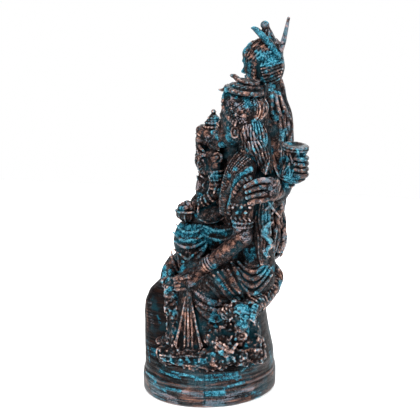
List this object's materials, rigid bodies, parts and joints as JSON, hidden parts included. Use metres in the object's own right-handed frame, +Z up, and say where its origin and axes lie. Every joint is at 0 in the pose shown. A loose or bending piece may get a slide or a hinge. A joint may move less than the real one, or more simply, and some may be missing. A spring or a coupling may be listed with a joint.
{
  "type": "shiva family statue",
  "caption": "Painted resin altar statue of a seated god, his wife and their elephant-headed child on a rock seat over an oval stump, cast in one piece with its plinth.",
  "frame": {"origin": "centre of the plinth's flat underside", "axes": "+Z up through the statue, -Y towards the statue's front, +X towards the wife's side, which is the statue's own left"},
  "size_m": [0.1252, 0.1318, 0.2878],
  "materials": {
    "painted_resin": "satin"
  },
  "bodies": {
    "root": {"shiva_family_casting": "painted_resin"}
  },
  "joints": []
}
